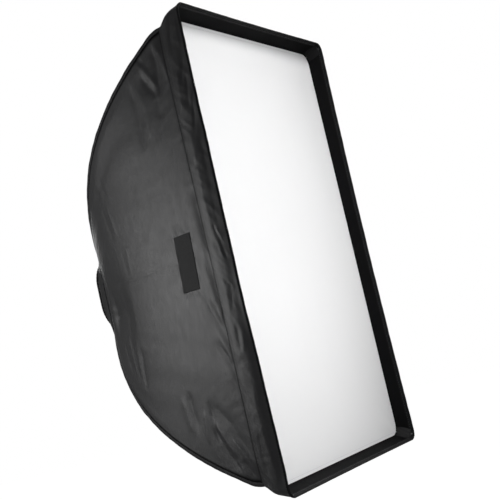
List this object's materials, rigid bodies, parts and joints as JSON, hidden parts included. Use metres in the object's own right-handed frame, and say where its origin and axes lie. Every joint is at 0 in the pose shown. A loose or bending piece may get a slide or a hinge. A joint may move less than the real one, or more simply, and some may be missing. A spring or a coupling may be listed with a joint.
{
  "type": "strip softbox",
  "caption": "Oblong fabric softbox with flexed rods in a speed ring, recessed lift-off diffuser, snap-in inner baffle and a rotating bayonet insert.",
  "frame": {"origin": "on the optical axis, in the rear contact face of the bayonet insert", "axes": "+Y points back into the flash head along the optical axis, so light leaves along -Y; +Z runs along the long side of the front; +X runs along the short side"},
  "size_m": [0.603, 0.492, 0.903],
  "materials": {
    "cast_metal": "black satin anodised casting",
    "insert_metal": "machined satin",
    "screw_steel": "zinc plated",
    "rod_steel": "bright spring steel",
    "black_plastic": "moulded black",
    "nylon_pad": "natural nylon",
    "outer_cloth": "satin black woven nylon",
    "binding_cloth": "black grosgrain tape",
    "silver_lining": "silver coated cloth",
    "white_cloth": "translucent white diffusion cloth",
    "white_border": "white hem tape",
    "hook_loop": "black hook and loop tape",
    "patch_cloth": "plain grey woven patch"
  },
  "bodies": {
    "mount": {"bayonet_insert": "insert_metal"},
    "softbox": {"baffle_tabs": "binding_cloth", "binding_bottom_left": "binding_cloth", "binding_bottom_right": "binding_cloth", "binding_top_left": "binding_cloth", "binding_top_right": "binding_cloth", "clip_screws": "screw_steel", "corner_pockets": "outer_cloth", "cuff_elastic": "binding_cloth", "label_patch": "patch_cloth", "lining_bottom": "silver_lining", "lining_left": "silver_lining", "lining_right": "silver_lining", "lining_top": "silver_lining", "lip_bottom": "outer_cloth", "lip_left": "outer_cloth", "lip_right": "outer_cloth", "lip_top": "outer_cloth", "loop_strip": "hook_loop", "panel_bottom": "outer_cloth", "panel_left": "outer_cloth", "panel_right": "outer_cloth", "panel_top": "outer_cloth", "rear_cuff": "outer_cloth", "rim_hem": "binding_cloth", "rod_bottom_left": "rod_steel", "rod_bottom_right": "rod_steel", "rod_end_caps": "black_plastic", "rod_ferrules": "screw_steel", "rod_top_left": "rod_steel", "rod_top_right": "rod_steel", "speed_ring": "cast_metal", "tab_studs": "black_plastic"},
    "brake_shoe": {"brake_shoe": "nylon_pad"},
    "lock_knob": {"thumbscrew_stud": "screw_steel", "thumbscrew_knob": "black_plastic"},
    "clip_a": {"clip_a": "insert_metal"},
    "clip_b": {"clip_b": "insert_metal"},
    "clip_c": {"clip_c": "insert_metal"},
    "front_diffuser": {"diffuser_cloth": "white_cloth", "diffuser_border": "white_border", "hook_strip": "hook_loop"},
    "inner_baffle": {"baffle_cloth": "white_cloth", "baffle_border": "white_border", "baffle_straps": "binding_cloth", "strap_snaps": "black_plastic"}
  },
  "joints": [
    {"name": "ring_rotation", "type": "hinge", "parent": "mount", "child": "softbox", "pos_m": [0, 0, 0], "axis": [0, 1, 0], "continuous": true},
    {"name": "brake_advance", "type": "slide", "parent": "softbox", "child": "brake_shoe", "axis": [1, 0, 0], "range_m": [0, 0.003]},
    {"name": "knob_turn", "type": "hinge", "parent": "brake_shoe", "child": "lock_knob", "pos_m": [0.08, -0.013, 0], "axis": [1, 0, 0], "range_deg": [0, 1080]},
    {"name": "clip_a_swivel", "type": "hinge", "parent": "softbox", "child": "clip_a", "pos_m": [0, -0.0235, 0.0605], "axis": [0, 1, 0], "range_deg": [0, 95]},
    {"name": "clip_b_swivel", "type": "hinge", "parent": "softbox", "child": "clip_b", "pos_m": [-0.05239, -0.0235, -0.03025], "axis": [0, 1, 0], "range_deg": [0, 95]},
    {"name": "clip_c_swivel", "type": "hinge", "parent": "softbox", "child": "clip_c", "pos_m": [0.05239, -0.0235, -0.03025], "axis": [0, 1, 0], "range_deg": [0, 95]},
    {"name": "diffuser_lift_off", "type": "slide", "parent": "softbox", "child": "front_diffuser", "axis": [0, -1, 0], "range_m": [0, 0.35]},
    {"name": "baffle_unsnap", "type": "slide", "parent": "softbox", "child": "inner_baffle", "axis": [0, -1, 0], "range_m": [0, 0.135]}
  ],
  "couplings": [
    {"joint": "knob_turn", "follows": "brake_advance", "rad_per_m": 6283.2}
  ]
}
